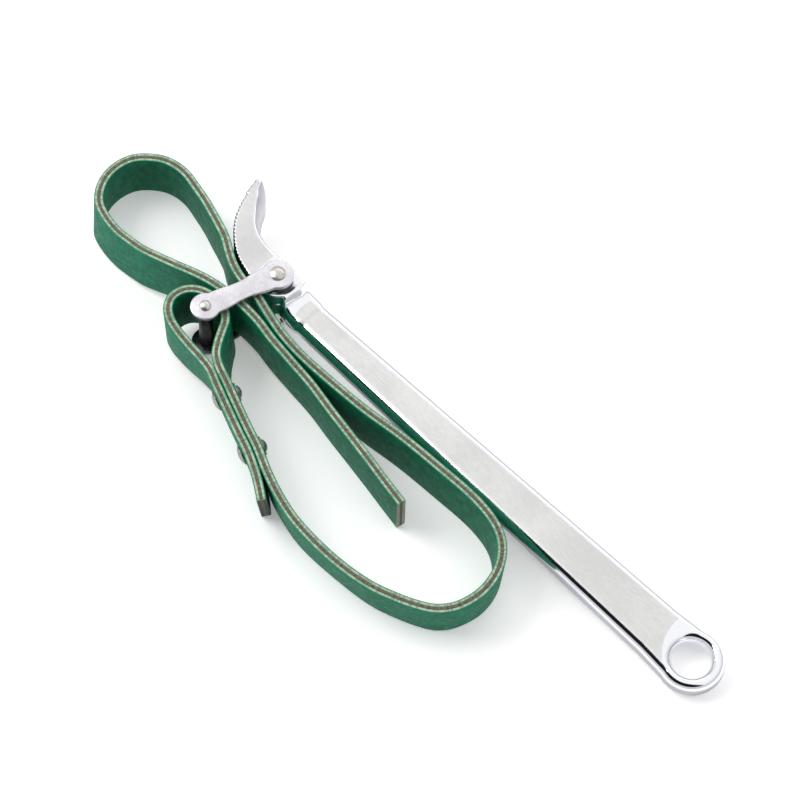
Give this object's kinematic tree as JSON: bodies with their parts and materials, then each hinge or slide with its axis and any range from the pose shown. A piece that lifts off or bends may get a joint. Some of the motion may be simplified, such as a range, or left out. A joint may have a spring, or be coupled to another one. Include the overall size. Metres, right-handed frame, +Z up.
{
  "type": "oil filter strap wrench",
  "caption": "Forged bar handle with a serrated horn, a swinging link yoke, and a flat laminated belt threaded through it to grip a round filter.",
  "frame": {"origin": "centre of the underside of the whole laid-down wrench", "axes": "+X along the handle from the pivot to the hanging hole, +Y from the belt's side to the horn's side, +Z up from the surface that the wrench lies on"},
  "size_m": [0.3564, 0.1106, 0.0364],
  "materials": {
    "chrome_steel": "bright chrome plate with a satin ground panel on each flat",
    "satin_nickel": "satin nickel plate",
    "rivet_steel": "plated steel, bright",
    "black_steel": "black oxide, semi-gloss",
    "green_rubber": "fine textured green rubber face, paler on the cut edge",
    "belt_core": "brown-grey woven cord core"
  },
  "bodies": {
    "handle": {"handle": "chrome_steel"},
    "yoke": {"upper_link_plate": "satin_nickel", "lower_link_plate": "satin_nickel", "pivot_rivet": "rivet_steel", "upper_pivot_washer": "black_steel", "lower_pivot_washer": "black_steel", "anchor_rivet": "rivet_steel", "strap_core": "belt_core", "strap_inner_cover": "green_rubber", "strap_outer_cover": "green_rubber", "strap_rivet_1": "rivet_steel", "strap_washer_1": "rivet_steel", "strap_rivet_2": "rivet_steel", "strap_washer_2": "rivet_steel"},
    "sleeve": {"anchor_sleeve": "black_steel"}
  },
  "joints": [
    {"name": "yoke_swing", "type": "hinge", "parent": "handle", "child": "yoke", "pos_m": [-0.07998, 0.02534, 0.0181], "axis": [0.0501, 0, 0.9987], "range_deg": [0, 18], "deforming": ["strap_core", "strap_inner_cover", "strap_outer_cover"]},
    {"name": "sleeve_spin", "type": "hinge", "parent": "yoke", "child": "sleeve", "pos_m": [-0.08997, -0.00816, 0.0186], "axis": [0.0501, 0, 0.9987], "continuous": true}
  ]
}
